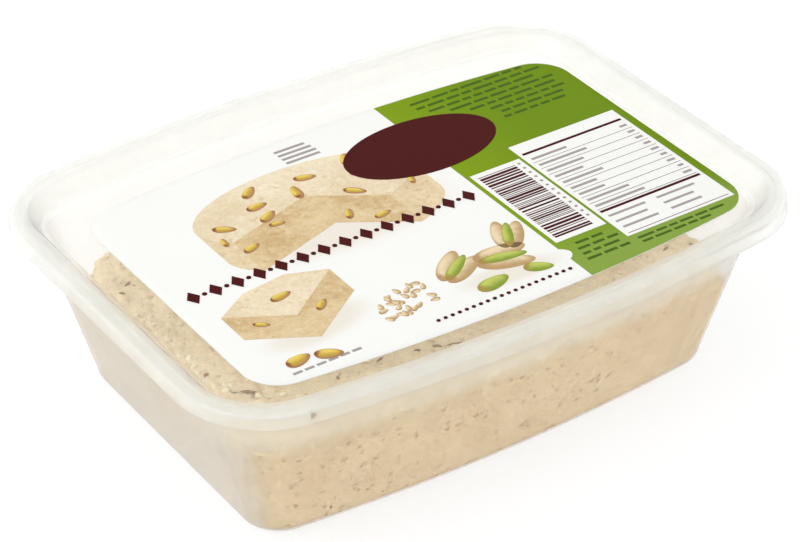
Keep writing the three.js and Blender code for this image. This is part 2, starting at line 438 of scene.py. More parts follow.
def broken_up(place, normal):
    """Where a place in mm on the block's skin comes to lie: swollen, lumpy, split and pitted
    where it is loose, and only lightly pitted where the wall holds it."""
    beyond, _ = wall_distance(place, inset(tub_plan(place.z), pressed_gap))
    held = smooth(beyond, -0.7, -0.15) * (1 - smooth(normal.z, 0.4, 0.8))
    loose = 1 - held
    swell = 0.55 * noise.noise(place * 0.10) + 0.45 * noise.noise(place * 0.22 + normal)
    lumps = 0.42 * noise.noise(place * 0.55) + 0.22 * noise.noise(place * 1.15)
    near, far = noise.voronoi(place * 0.16 + noise.noise_vector(place * 0.3) * 0.25)[0][:2]
    split = (1 - smooth(far - near, 0.0, 0.09)) * smooth(noise.noise(place * 0.07), 0.0, 0.35)
    stretched = Vector((place.x * 0.8 + place.z * 0.5, place.y * 0.9, place.z - place.x * 0.35))
    pore = noise.voronoi(stretched * 0.38)[0][0]
    pit = (1 - smooth(pore, 0.05, 0.2)) * smooth(noise.noise(place * 0.6), -0.1, 0.2)
    move = loose * (swell + lumps - 0.8 * split) - (0.25 + 0.35 * loose) * pit
    if normal.z > 0.5:
        move -= torn_depth(place.x, place.y)
    return kept_in(place + normal * min(move, 0.75))


mesh = halva_block.data
mesh.update()
normals = [vertex.normal.copy() for vertex in mesh.vertices]
noise.seed_set(41)        # noise_vector draws its own offsets, so they are seeded too
for vertex, normal in zip(mesh.vertices, normals):
    place = vertex.co / mm
    underneath = place.z < 1.5 and normal.z < -0.5
    if not underneath:
        vertex.co = broken_up(place, normal) * mm
mesh.update()
bpy.ops.object.shade_smooth()
print("halva block:", len(mesh.polygons), "faces")


def crumb_effect():
    """Pressed sesame paste, mottled, with paler flecks, slanting pores darkened with painted shade,
    and a fine grain.
    """
    group, given, result = effect(
        "Crumb", {"Paste": (0.86, 0.72, 0.485, 1), "Shade": (0.77, 0.615, 0.39, 1),
                  "Fleck": (0.90, 0.80, 0.59, 1), "Pore Shade": (0.36, 0.215, 0.09, 1),
                  "Pore Share": 0.7, "Fleck Share": 0.3, "Size": 1.0},
        {"Color": "Color", "Height": "Float"})
    in_mm = add(group, "VectorMath", {0: spot_on_piece(group)}, operation="SCALE")
    group.links.new(maths(group, "DIVIDE", 1000.0, given["Size"]), in_mm.inputs["Scale"])
    place = in_mm.outputs[0]

    broad = mottling(group, place, 0.09, 5.0, 0.6)
    mottle = mottling(group, place, 0.55, 4.0, 0.65)
    tone = maths(group, "ADD", maths(group, "MULTIPLY", broad, 0.55),
                 maths(group, "MULTIPLY", mottle, 0.45))
    colour = mixed(group, between(group, tone, 0.38, 0.64), given["Paste"], given["Shade"])

    warp = add(group, "TexNoise", {"Vector": place, "Scale": 0.5, "Detail": 2.0}).outputs["Color"]
    bent = add(group, "VectorMath", {0: warp, 1: (1.6, 1.6, 1.6), 2: place},
               operation="MULTIPLY_ADD").outputs[0]
    patches = add(group, "TexVoronoi", {"Vector": bent, "Scale": 0.42})
    patch = add(group, "SeparateColor", {0: patches.outputs["Color"]}).outputs[0]
    pale = maths(group, "MULTIPLY", between(group, patch, 0.72, 0.9),
                 between(group, patches.outputs["Distance"], 0.55, 0.25))
    colour = mixed(group, maths(group, "MULTIPLY", pale, given["Fleck Share"]), colour,
                   given["Fleck"])

    swirled = add(group, "VectorMath", {0: warp, 1: (3.0, 3.0, 3.0), 2: place},
                  operation="MULTIPLY_ADD").outputs[0]
    slant = (0.0, math.radians(-24), 0.0)
    slanting = add(group, "Mapping", {"Vector": swirled, "Rotation": slant,
                                      "Scale": (1.7, 1.1, 0.9)}, vector_type="TEXTURE")
    holes = add(group, "TexVoronoi", {"Vector": slanting.outputs[0], "Scale": 0.62})
    pick = add(group, "SeparateColor", {0: holes.outputs["Color"]}).outputs[1]
    hole = maths(group, "MULTIPLY", between(group, holes.outputs["Distance"], 0.34, 0.15),
                 between(group, pick, 0.5, 0.72))
    specks = add(group, "TexVoronoi", {"Vector": place, "Scale": 1.3})
    pick = add(group, "SeparateColor", {0: specks.outputs["Color"]}).outputs[2]
    speck = maths(group, "MULTIPLY", between(group, specks.outputs["Distance"], 0.34, 0.12),
                  between(group, pick, 0.68, 0.85))
    pitted = maths(group, "MAXIMUM", hole, maths(group, "MULTIPLY", speck, 0.6))
    # painted shade: the pits and specks are coloured dark, as shade in the pores
    colour = mixed(group, maths(group, "MULTIPLY", pitted, given["Pore Share"]), colour,
                   given["Pore Shade"])

    fine = mottling(group, place, 1.6, 3.0, 0.6)
    grain = between(group, fine, 0.25, 0.75, -0.06, 0.06)
    shade = add(group, "HueSaturation", {"Color": colour,
                                         "Value": maths(group, "ADD", grain, 1.0)})
    group.links.new(shade.outputs[0], result["Color"])
    height = maths(group, "ADD", fine, maths(group, "MULTIPLY", pale, 0.5))
    group.links.new(maths(group, "SUBTRACT", height, pitted), result["Height"])
    return group


def halva_material(name, oil_and_side_shade=(1, 1, 1), **looks):
    """Oil and side shade tints the lower part: the oil darkens it where it is pressed to the wall,
    and the tint is also painted shade that keeps the sides darker than the top. Along its foot
    it is darker still, with painted shade at the bottom edge."""
    material, tree, surface = new_material(name)
    height = add(tree, "SeparateXYZ", {0: spot_on_piece(tree)}).outputs[2]
    looks.setdefault("Pore Share", between(tree, height, wetted_below, dry_above, 0.62, 0.4))
    body = add(tree, "Group", looks, node_tree=crumb)
    # partly painted shade: the lower part is tinted darker for the oil, and to keep the sides
    # darker than the top
    tint = mixed(tree, between(tree, height, wetted_below, dry_above), (*oil_and_side_shade, 1), (1, 1, 1, 1))
    # painted shade: the block's foot is darkened towards the floor, a painted contact shadow
    tint = mixed(tree, between(tree, height, 0.0009, 0.0026), (0.62, 0.54, 0.50, 1), tint)
    colour = add(tree, "Mix", {0: 1.0, 6: body.outputs["Color"], 7: tint}, data_type="RGBA",
                 blend_type="MULTIPLY").outputs[2]
    tree.links.new(colour, surface.inputs["Base Color"])
    tree.links.new(relief(tree, body.outputs["Height"], 0.00025, 0.7), surface.inputs["Normal"])
    surface.inputs["Roughness"].default_value = 0.72
    surface.inputs["Specular IOR Level"].default_value = 0.3
    surface.inputs["Subsurface Weight"].default_value = 0.15
    surface.inputs["Subsurface Radius"].default_value = (1.0, 0.6, 0.3)
    surface.inputs["Subsurface Scale"].default_value = 0.0012
    return material


crumb = crumb_effect()
finish_piece(halva_block,
             [halva_material("sesame halva", oil_and_side_shade=(0.925, 0.875, 0.825))], "halva")

# ---- Sesame flakes and crumbs on the halva ----
# Pale flakes of sesame and loose crumbs that broke off as the halva was pressed. Each is a
# small lump, squashed and chipped, sunk a little way into the top.


def top_height(x, y):
    """How high the halva's surface is above a place in plan, in metres."""
    hit, spot, _, _ = halva_block.ray_cast(Vector((x * mm, y * mm, 0.04)), Vector((0, 0, -1)))
    return spot.z if hit else None


def scattered(name, places, divisions, chip, seed):
    """One piece of many small lumps: place, size along three axes in mm, and turn of each."""
    draw = random.Random(seed)
    piece = start_from(bpy.ops.mesh.primitive_ico_sphere_add, name, subdivisions=divisions,
                       radius=1)
    lump = piece.data
    body = bmesh.new()
    for spot, size, turn in places:
        first = len(body.verts)
        body.from_mesh(lump)
        body.verts.ensure_lookup_table()
        shift = Vector((draw.uniform(0, 50), draw.uniform(0, 50), draw.uniform(0, 50)))
        for vertex in body.verts[first:]:
            grown = vertex.co * (1 + chip * noise.noise(vertex.co * 1.3 + shift))
            grown = Vector(a * b for a, b in zip(grown, size)) * mm
            vertex.co = turn @ grown + spot
    bmesh.ops.recalc_face_normals(body, faces=body.faces)
    body.to_mesh(lump)
    body.free()
    bpy.ops.object.shade_smooth_by_angle(angle=math.radians(50))
    return piece


def tumbled(draw, lean=0.35):
    return (Matrix.Rotation(draw.uniform(0, math.tau), 3, "Z")
            @ Matrix.Rotation(draw.uniform(-lean, lean), 3, "X")
            @ Matrix.Rotation(draw.uniform(-lean, lean), 3, "Y"))


def strewn(draw, count, small, large, flatness, named=()):
    """Places on the halva's top: first the named ones, then a seeded spread, thicker by its rim."""
    reach_x, reach_y, top_edge = 66, 42, 0.028
    spots = list(named)
    while len(spots) < count:
        x, y = draw.uniform(-reach_x, reach_x), draw.uniform(-reach_y, reach_y)
        near_rim = max(abs(x) / reach_x, abs(y) / reach_y)
        if draw.random() < 0.25 + 0.75 * near_rim ** 3:
            spots.append((x, y, small + (large - small) * draw.random() ** 2))
    places = []
    for x, y, size in spots:
        height = top_height(x, y)
        if height is None or height < top_edge:
            continue
        thick = size * flatness
        places.append((Vector((x * mm, y * mm, height + 0.15 * thick * mm)),
                       (size, size * draw.uniform(0.5, 0.8), thick), tumbled(draw)))
    return places


draw = random.Random(7)
flake_spots = [(-57.4, -27.9, 1.5), (-56.0, -29.4, 1.1), (-52.9, -30.9, 1.0),
               (-50.3, -33.6, 1.3), (-61.9, -20.5, 0.9), (-62.8, -6.4, 1.1),
               (-60.8, -21.0, 0.8), (-62.2, 12.0, 1.0), (-63.8, 15.3, 0.8),
               (-64.2, -17.0, 0.8), (-58.6, -29.2, 0.8), (-63.4, -9.6, 0.8)]
flakes = scattered("sesame_flakes", strewn(draw, 150, 0.35, 1.1, 0.3, flake_spots), 1, 0.8, 3)
crumbs = scattered("halva_crumbs", strewn(draw, 260, 0.25, 0.9, 0.6), 1, 0.9, 4)
finish_piece(flakes, [halva_material(
    "sesame flake", Paste=(0.95, 0.86, 0.62, 1), Shade=(0.88, 0.74, 0.48, 1),
    **{"Pore Share": 0.1})])
finish_piece(crumbs, [halva_material(
    "halva crumb", Paste=(0.80, 0.64, 0.40, 1), Shade=(0.68, 0.50, 0.27, 1),
    **{"Pore Share": 0.2})])

# ---- Pistachio pieces ----
# Chopped pistachio kernels stirred into the halva: green flesh with purple-brown skin. They
# show where one lies at the wall or breaks the top, and are sunk most of the way in.


def wall_spot(x, height, side, sunk):
    """A spot in the halva at a height, sunk so far behind its front or back wall."""
    plan = inset(tub_plan(height), pressed_gap + sunk)
    bow = side_bow * plan[0] ** 2 * (1 - (x / plan[0]) ** 2)
    return Vector((x, side * (plan[1] + bow), height)) * mm


def end_spot(y, height, side, sunk):
    """A spot in the halva at a height, sunk so far behind its left or right end."""
    plan = inset(tub_plan(height), loose_gap + sunk)
    return Vector((side * plan[0], y, height)) * mm


draw = random.Random(19)
nut_places = []
for x, y, size in ((62.9, -34.2, 1.5), (-24, 12, 2.2), (-47, 30, 1.9), (8, -8, 2.4), (30, 22, 2.0),
                   (50, 6, 1.8), (-8, 34, 2.1), (-40, -10, 2.0), (22, -27, 1.6), (56, 31, 1.7),
                   (-52, 4, 1.4), (-50.6, -40.2, 1.7)):
    height = top_height(x, y)
    if height:
        nut_places.append((Vector((x * mm, y * mm, height - 0.35 * size * mm)),
                           (size, size * 0.7, size * 0.6), tumbled(draw)))
for x, height, side, size in ((-41.6, 7.1, -1, 0.8), (-48.2, 4.4, -1, 0.7), (-34.6, 3.6, -1, 0.7),
                              (25.3, 8.3, -1, 1.0), (-40, 16, 1, 1.9), (-5, 9, 1, 1.6),
                              (31, 20, 1, 2.1), (52, 7, 1, 1.4), (-20, 22, 1, 1.3)):
    nut_places.append((wall_spot(x, height, side, size * 0.35),
                       (size, size * 0.5, size * 0.75), tumbled(draw, 0.2)))
for y, height, side, size in ((-31.8, 23.4, -1, 2.3), (-29.7, 25.9, -1, 1.4), (11.5, 9.0, -1, 2.2),
                              (15.5, 7.0, -1, 1.3), (-9.0, 14.0, 1, 2.0), (20.0, 9.5, 1, 1.7),
                              (-27.0, 6.5, 1, 1.3)):
    nut_places.append((end_spot(y, height, side, size * 0.5),
                       (size * 0.6, size * 0.8, size), tumbled(draw, 0.2)))
pistachio_bits = scattered("pistachio_bits", nut_places, 2, 0.55, 5)
for vertex in pistachio_bits.data.vertices:
    vertex.co = kept_in(vertex.co / mm) * mm


def chopped_kernel():
    material, tree, surface = new_material("chopped pistachio")
    place = spot_on_piece(tree)
    tone = mottling(tree, place, 900.0, 3.0)
    flesh = mixed(tree, tone, (0.30, 0.34, 0.05, 1), (0.52, 0.46, 0.12, 1))
    skinned = between(tree, mottling(tree, place, 260.0, 2.0), 0.46, 0.54)
    tree.links.new(mixed(tree, skinned, flesh, (0.13, 0.055, 0.05, 1)),
                   surface.inputs["Base Color"])
    tree.links.new(relief(tree, tone, 0.0002, 0.6), surface.inputs["Normal"])
    surface.inputs["Roughness"].default_value = 0.5
    return material


finish_piece(pistachio_bits, [chopped_kernel()])

# Slivers of brown skin caught in the cracks of the top.
sliver_places = []
for x, y, length, width, turn in (
        (-9.4, -36.1, 2.6, 0.5, -14), (-13.6, -35.0, 1.1, 0.35, -25), (-60.6, -23.9, 1.7, 0.4, -46),
        (-58.5, -25.9, 1.9, 0.5, -42), (-62.5, -13.4, 0.8, 0.6, 20), (-65.0, -13.5, 1.4, 0.3, -4),
        (-27.6, -32.3, 1.0, 0.3, 10), (-39.5, -33.0, 0.7, 0.4, 70), (-18.3, -33.6, 0.8, 0.35, -15),
        (-59.8, 27.1, 1.1, 0.25, 30), (-63.0, 24.2, 0.8, 0.25, -40), (61.6, -35.1, 1.4, 0.9, 50),
        (55.2, -32.9, 1.0, 0.35, 20), (-8, 20, 1.2, 0.3, 40), (36, -12, 1.4, 0.35, 75),
        (-34, 25, 1.1, 0.3, 10)):
    height = top_height(x, y)
    if height:
        sliver_places.append((Vector((x * mm, y * mm, height + 0.1 * mm)), (length, width, 0.3),
                              Matrix.Rotation(math.radians(turn), 3, "Z")))
stray_x, stray_height, stray_inset = -61.5, 45.0, 1.1     # a stray bit caught inside the skirt
stray_bow = side_bow * rim_plan[0] ** 2 * (1 - (stray_x / rim_plan[0]) ** 2)
sliver_places.append((Vector((stray_x, stray_inset - rim_plan[1] - stray_bow, stray_height)) * mm,
                      (0.8, 0.2, 0.7), Matrix.Identity(3)))
slivers = scattered("brown_skin_slivers", sliver_places, 2, 0.6, 6)


def papery_skin():
    material, tree, surface = new_material("pistachio skin")
    tone = mottling(tree, spot_on_piece(tree), 1100.0, 2.0)
    tree.links.new(mixed(tree, tone, (0.17, 0.07, 0.015, 1), (0.42, 0.22, 0.06, 1)),
                   surface.inputs["Base Color"])
    surface.inputs["Roughness"].default_value = 0.6
    return material


finish_piece(slivers, [papery_skin()])

# ---- Lid ----
# The lid is moulded of the same polypropylene: a skirt round the tub's flange, a flat frosted
# rim with a small step, and a sunk panel that is polished clear. One skin, as the tub is.
lid_wall = 0.7
panel_top = 43.4
skirt_foot, skirt_inside = 44.1, 0.3
rim_step_low, rim_step_high = 47.35, 47.7
recess_plan = inset(rim_plan, 5)
panel_plan = inset(recess_plan, 2.2)
lid_rings = [ring(inset(panel_plan, i), panel_top - lid_wall + h) for i, h in (
    (4, 0.0), (0.4, 0.0), (-0.35, 0.15))]
lid_rings += [ring(inset(panel_plan, -lid_wall), panel_top + 0.1)]
lid_rings += [ring(inset(recess_plan, -lid_wall - i), z) for i, z in (
    (0.0, 46.2), (0.25, 46.75), (0.8, 47.0))]
lid_rings += [ring(inset(rim_plan, i), z) for i, z in (
    (1.5, 46.65), (0.95, 46.4), (0.7, 45.85), (skirt_inside, skirt_foot), (-0.4, skirt_foot),
    (-0.36, 44.5))]
lid_rings += [ring(inset(rim_plan, i), rim_step_low - h) for h, i in reversed(fillet(0.8, 7))]
lid_rings += [ring(inset(rim_plan, i), z) for i, z in (
    (1.1, rim_step_low), (2.3, rim_step_low), (2.5, 47.38), (2.7, 47.5), (2.85, 47.66),
    (3.0, rim_step_high), (4.1, rim_step_high), (4.3, 47.68), (4.62, 47.5), (4.88, 47.2),
    (5.0, 46.8))]
lid_rings += [ring(inset(panel_plan, i), panel_top + h) for i, h in (
    (0.0, 0.9), (0.08, 0.55), (0.28, 0.26), (0.55, 0.08), (0.9, 0.0), (1.5, 0.0), (4.0, 0.0))]
lid_shell = skin("lid_shell", lid_rings)
lid_frosted = polypropylene("frosted rim polypropylene", 0.72, 0.38, 1.18, 0.82)
lid_clear = polypropylene("clear panel polypropylene", 0.06, 0.12, 2.6, 0.0, cloudiness=0.1,
                          grain_depth=0.000004)
finish_piece(lid_shell, [lid_frosted, lid_clear], "lid")
clear_plan = inset(panel_plan, 1.7)
for face in lid_shell.data.polygons:
    spot = face.center / mm
    beyond, _ = wall_distance(spot, clear_plan)
    face.material_index = 1 if beyond < 0 and spot.z < panel_top + 0.3 else 0

# ---- Label ----
# A printed film label stuck on the lid's panel: a white field for the picture and a leaf-green
# field for the tables. The film is a thin skin, and each printed shape a thin layer on it.
label_middle = (3.8, -1.8)
label_plan = (69.2, 40.9, 8.4)
film_top = 43.6
film_white = (0.72, 0.72, 0.695)
label_film = skin("label_film", [ring(label_plan, panel_top - 0.02, label_middle),
                                 ring(label_plan, film_top - 0.04, label_middle),
                                 ring(inset(label_plan, 0.05), film_top, label_middle),
                                 ring(inset(label_plan, 2.0), film_top, label_middle)])


def print_effect():
    """How ink sits on the film, with a faint unevenness of tone and a satin gloss."""
    group, given, result = effect(
        "Print", {"Ink": (0.8, 0.8, 0.8, 1), "Unevenness": 0.03, "Gloss": 0.38},
        {"Color": "Color", "Roughness": "Float", "Normal": "Vector"})
    place = spot_on_piece(group)
    spread = maths(group, "SUBTRACT", mottling(group, place, 45.0, 4.0), 0.5)
    swing = maths(group, "MULTIPLY", spread, given["Unevenness"])
    toned = add(group, "HueSaturation", {"Color": given["Ink"],
                                         "Value": maths(group, "ADD", swing, 1.0)})
    group.links.new(toned.outputs[0], result["Color"])
    group.links.new(maths(group, "ADD", given["Gloss"], swing), result["Roughness"])
    tooth = mottling(group, place, 1500.0, 2.0)
    group.links.new(relief(group, tooth, 0.00001, 0.5), result["Normal"])
    return group


def ink(name, colour, gloss=0.38):
    """Ink of one colour, or of the colours that a function makes in the material's tree."""
    material, tree, surface = new_material(name)
    tint = colour(tree) if callable(colour) else (*colour, 1)
    sheet = add(tree, "Group", {"Ink": tint, "Gloss": gloss}, node_tree=print_tone)
    tree.links.new(sheet.outputs["Color"], surface.inputs["Base Color"])
    tree.links.new(sheet.outputs["Roughness"], surface.inputs["Roughness"])
    tree.links.new(sheet.outputs["Normal"], surface.inputs["Normal"])
    surface.inputs["Specular IOR Level"].default_value = 0.06
    return material


print_tone = print_effect()
label_film.visible_shadow = False
finish_piece(label_film, [ink("white film", film_white)], "label")


def printed(name, shapes, level, material):
    """Thin layers of ink on the film. A shape is its points, from the label's middle in mm,
    and the frame (middle, length, width, turn) that its own UV map is laid in. They are laid
    out and cut into triangles in mm, and then scaled. Each lies a hair over the last, so that
    no two share a plane."""
    layer, hair = 0.02, 0.0015
    piece = start_from(bpy.ops.mesh.primitive_plane_add, name, size=1)
    bpy.ops.object.mode_set(mode="EDIT")
    bpy.ops.mesh.delete(type="VERT")
    for number, (points, ((cx, cy), length, width, turn)) in enumerate(shapes):
        height = film_top + layer * level + hair * (number % 12)
        bpy.ops.mesh.select_all(action="DESELECT")
        bpy.ops.mesh.primitive_circle_add(vertices=len(points), radius=1, fill_type="NGON")
        mesh = bmesh.from_edit_mesh(piece.data)
        chart = mesh.loops.layers.uv.verify()
        turned = Matrix.Rotation(-math.radians(turn), 2)
        face = next(face for face in mesh.faces if face.select)
        for loop, (x, y) in zip(face.loops, points):
            loop.vert.co = (label_middle[0] + x, label_middle[1] + y, height)
            spot = turned @ Vector((x - cx, y - cy))
            loop[chart].uv = (0.5 + spot.x / length, 0.5 + spot.y / width)
        bmesh.update_edit_mesh(piece.data)
        bpy.ops.mesh.extrude_region_move(TRANSFORM_OT_translate={
            "value": (0, 0, -layer * (level + 1))})
    bpy.ops.mesh.select_all(action="SELECT")
    bpy.ops.mesh.normals_make_consistent(inside=False)
    bpy.ops.mesh.quads_convert_to_tris()
    bpy.ops.transform.resize(value=(mm, mm, mm), center_override=(0, 0, 0))
    bpy.ops.object.mode_set(mode="OBJECT")
    piece.visible_shadow = False
    finish_piece(piece, [material])


def cut_out(*points):
    """A shape by its corners, charted across the whole label."""
    return list(points), ((0, 0), 140, 140, 0)


def bar(x0, x1, y0, y1):
    return cut_out((x0, y0), (x1, y0), (x1, y1), (x0, y1))


def oval(cx, cy, half_length, half_width, turn, steps, taper=0.0):
    """An oval, or a kernel that narrows towards one end, with its own UV frame."""
    angle = math.radians(turn)
    points = []
    for step in range(steps):
        t = step / steps * math.tau
        x = half_length * math.cos(t)
        y = half_width * math.sin(t) * (1 - taper * math.cos(t))
        points.append((cx + x * math.cos(angle) - y * math.sin(angle),
                       cy + x * math.sin(angle) + y * math.cos(angle)))
    return points, ((cx, cy), 2 * half_length, 2 * half_width * (1 + taper), turn)


# Leaf-green field: the label's outline, cut straight where the white field begins.
green_edge = 17.6
ink_inset = 0.02


def leaf_green_with_sheen(tree):
    place = add(tree, "SeparateXYZ", {0: spot_on_piece(tree)}).outputs
    deep = mixed(tree, between(tree, place[0], 0.018, 0.052), (0.165, 0.262, 0.0, 1),
                 (0.122, 0.207, 0.0, 1))
    # painted sheen: towards the label's lower edge the green turns paler
    return mixed(tree, between(tree, place[1], -0.026, -0.042), deep, (0.19, 0.285, 0.042, 1))


outline = [(p.x / mm, p.y / mm) for p in ring(inset(label_plan, ink_inset), 0)]
right_side = [(x, y) for x, y in outline if x >= green_edge]
right_side = sorted(right_side, key=lambda p: math.atan2(p[1], p[0] - green_edge))
bow_there = side_bow * label_plan[0] ** 2 * (1 - (green_edge / label_plan[0]) ** 2)
cut_end = label_plan[1] + bow_there - ink_inset
green_outline = cut_out((green_edge, -cut_end), *right_side, (green_edge, cut_end))
printed("print_green_field", [green_outline], 1, ink("leaf green ink with painted sheen", leaf_green_with_sheen))

# Tables and dark line work: blank panels with rules and bars, and dashes for rows of print.
white_ink = ink("white ink", (0.72, 0.72, 0.70))
brown_ink = ink("dark brown ink", (0.052, 0.001, 0.001), gloss=0.42)
grey_ink = ink("grey ink", (0.30, 0.27, 0.26))
olive_ink = ink("dark olive ink", (0.045, 0.10, 0.004))
printed("print_panels", [bar(34.4, 66.8, -37.0, 10.8), bar(18.8, 33.6, -29.8, 5.2)], 2, white_ink)

rule_left, rule_right, text_left, text_right = 35.4, 65.8, 36.0, 65.4
rules = [bar(rule_left, rule_right, low, high)
         for low, high in ((5.6, 6.5), (-25.6, -24.7), (-36.1, -35.9))]
draw = random.Random(11)
rows = []
for row in range(9):
    y = 3.2 - row * 3.2
    rules.append(bar(rule_left, rule_right, y - 1.75, y - 1.62))
    rows.append(bar(text_left, text_left + draw.uniform(7, 15), y - 0.5, y + 0.4))
    rows.append(bar(text_right - draw.uniform(1.6, 2.6), text_right, y - 0.5, y + 0.4))
for row in range(3):
    y = -27.6 - row * 2.8
    for x, short, long in ((text_left, 9, 12), (50.5, 9, 13)):
        rows.append(bar(x, x + draw.uniform(short, long), y - 0.45, y + 0.35))
printed("print_rules", rules, 3, brown_ink)
printed("print_table_dashes", rows, 3, grey_ink)

bars_top, bars_foot, bars_left, bars_right = 3.4, -27.6, 20.0, 31.0
bars = []
y = bars_top
while y > bars_foot:
    thick = draw.choice((0.25, 0.25, 0.45, 0.65, 0.9))
    bars.append(bar(bars_left, bars_right, y - thick, y))
    y -= thick + draw.choice((0.3, 0.45, 0.45, 0.7))
printed("print_bars", bars, 3, brown_ink)
printed("print_bar_ticks", [bar(31.9, 32.7, 2.9 - i * 2.3, 3.7 - i * 2.3) for i in range(13)],
        3, grey_ink)


def dashes(start, end, shortest, longest, gap, low, high, limit=None):
    """A row of dashes of drawn lengths from start on, the last one cut off at the limit."""
    row = []
    x = start
    while x < end():
        length = draw.uniform(shortest, longest)
        row.append(bar(x, min(x + length, limit or x + length), low, high))
        x += length + gap
    return row


green_rows = []
for row in range(8):
    y = 41.2 - row * 2.55
    start = 25.0 + 17.5 * smooth(row, 0.5, 6) + draw.uniform(0, 1)
    green_rows += dashes(start, lambda: 62.5 - draw.uniform(0, 3), 2.2, 6.5, 0.9,
                         y - 0.5, y + 0.45, 65.0)
for row in range(4):
    green_rows += dashes(20.6 + draw.uniform(0, 2), lambda: 31.0, 2.0, 4.6, 0.9,
                         -32.9 - row * 2.3, -32.0 - row * 2.3, 33.2)
for row in range(2):
    green_rows += dashes(36.0, lambda: 61.0 - 5 * row, 2.0, 5.0, 0.8,
                         -39.3 - row * 1.8, -38.5 - row * 1.8)
printed("print_green_dashes", green_rows, 2, olive_ink)
small_rows = [bar(-14.6, -4.4 + draw.uniform(-2, 0), 40.6 - i * 1.9, 41.5 - i * 1.9)
              for i in range(4)]
small_rows += [bar(-60.0 + i * 3.1, -57.6 + i * 3.1, -39.5, -38.7) for i in range(6)]
printed("print_small_dashes", small_rows, 2, grey_ink)

# Plaque: a plain dark-brown oval across the edge between the white and the green.
plaque_middle, plaque_half_length, plaque_half_width = (17.0, 23.6), 21.4, 11.9
printed("print_plaque", [oval(*plaque_middle, plaque_half_length, plaque_half_width, 0, 64)], 7,
        brown_ink)

# Ornament: a row of lozenges and dots, dark brown, and a row of small dots further down.
lozenge_y, lozenge_pitch, lozenge_count = -1.6, 5.9, 14
half_lozenge_x, half_lozenge_y = 1.7, 2.6
lozenges = []
for i in range(lozenge_count):
    x = -63.0 + i * lozenge_pitch
    lozenges.append(cut_out((x - half_lozenge_x, lozenge_y), (x, lozenge_y - half_lozenge_y),
                            (x + half_lozenge_x, lozenge_y), (x, lozenge_y + half_lozenge_y)))
    if i < lozenge_count - 1:
        lozenges.append(oval(x + lozenge_pitch / 2, lozenge_y, 0.62, 0.62, 0, 12))
lozenges += [oval(-22.0 + i * 1.95, -40.2, 0.5, 0.5, 0, 10) for i in range(20)]
printed("print_ornament", lozenges, 8, brown_ink)

# ---- Picture on the label ----
# A plain serving picture: a round halva cake with a quarter cut out, a wedge beside it, open
# pistachios, kernels and sesame. All are flat inks, shaded across each shape.
cake_x, cake_y, cake_a, cake_b, cake_h = -19.0, 20.5, 30.0, 13.5, 14.0
cut_from, cut_to = 215, 305        # the missing quarter, in degrees round the cake


def on_cake(degrees, drop=0.0, share=1.0):
    angle = math.radians(degrees)
    return (cake_x + share * cake_a * math.cos(angle),
            cake_y + share * cake_b * math.sin(angle) - drop)


def arc(start, end, drop=0.0, steps=24):
    return [on_cake(start + (end - start) * i / steps, drop) for i in range(steps + 1)]


def printed_crumb(light, dark, fleck, size, share):
    def colouring(tree):
        return add(tree, "Group", {"Paste": (*light, 1), "Shade": (*dark, 1),
                                   "Fleck": (*fleck, 1), "Pore Shade": (0.45, 0.28, 0.12, 1),
                                   "Pore Share": share, "Size": size},
                   node_tree=crumb).outputs["Color"]
    return colouring


def across(tree, middle, rim, inner=0.35, outer=1.0):
    """Shades a shape from its middle to its rim, by its own UV map."""
    chart = add(tree, "VectorMath", {0: add(tree, "UVMap").outputs[0], 1: (0.5, 0.5, 0)},
                operation="SUBTRACT").outputs[0]
    reach = add(tree, "VectorMath", {0: chart}, operation="LENGTH").outputs["Value"]
    reach = maths(tree, "MULTIPLY", reach, 2.0)
    return mixed(tree, between(tree, reach, inner, outer), middle, rim)


def end_to_end(tip, body, rim):
    """A printed kernel: its own colour with a dark tip, a light ridge and a deeper rim."""
    def colouring(tree):
        chart = add(tree, "SeparateXYZ", {0: add(tree, "UVMap").outputs[0]}).outputs
        streaks = mottling(tree, spot_on_piece(tree), 700.0, 3.0)
        ridge = maths(tree, "ADD", chart[1], maths(tree, "MULTIPLY", streaks, 0.35))
        shaded = mixed(tree, between(tree, ridge, 0.35, 0.95), (*rim, 1), (*body, 1))
        shaded = across(tree, shaded, (*rim, 1), 0.6, 1.05)
        at_tip = maths(tree, "ADD", chart[0], maths(tree, "MULTIPLY", streaks, 0.3))
        return mixed(tree, between(tree, at_tip, 0.24, 0.42), (*tip, 1), shaded)
    return colouring


shadow_ink = ink("soft printed shadow",
                 lambda tree: across(tree, (0.66, 0.62, 0.55, 1), (*film_white, 1), 0.45, 1.0))
cream_ink = ink("printed halva top", printed_crumb(
    (0.68, 0.59, 0.43), (0.60, 0.49, 0.32), (0.72, 0.66, 0.54), 1.2, 0.35))
cut_ink = ink("printed halva cut", printed_crumb(
    (0.60, 0.47, 0.28), (0.47, 0.33, 0.16), (0.68, 0.58, 0.40), 1.0, 0.6))
side_ink = ink("printed halva side", printed_crumb(
    (0.64, 0.53, 0.35), (0.54, 0.42, 0.25), (0.70, 0.62, 0.46), 1.1, 0.5))
kernel_ink = ink("printed kernel", end_to_end(
    (0.22, 0.07, 0.025), (0.64, 0.49, 0.10), (0.42, 0.27, 0.04)))
green_kernel_ink = ink("printed green kernel", end_to_end(
    (0.30, 0.22, 0.05), (0.42, 0.47, 0.10), (0.19, 0.26, 0.03)))
skin_ink = ink("printed kernel skin",
               lambda tree: across(tree, (0.40, 0.22, 0.10, 1), (0.30, 0.16, 0.075, 1)))
shell_ink = ink("printed shell", end_to_end(
    (0.38, 0.24, 0.11), (0.66, 0.54, 0.35), (0.40, 0.26, 0.12)))

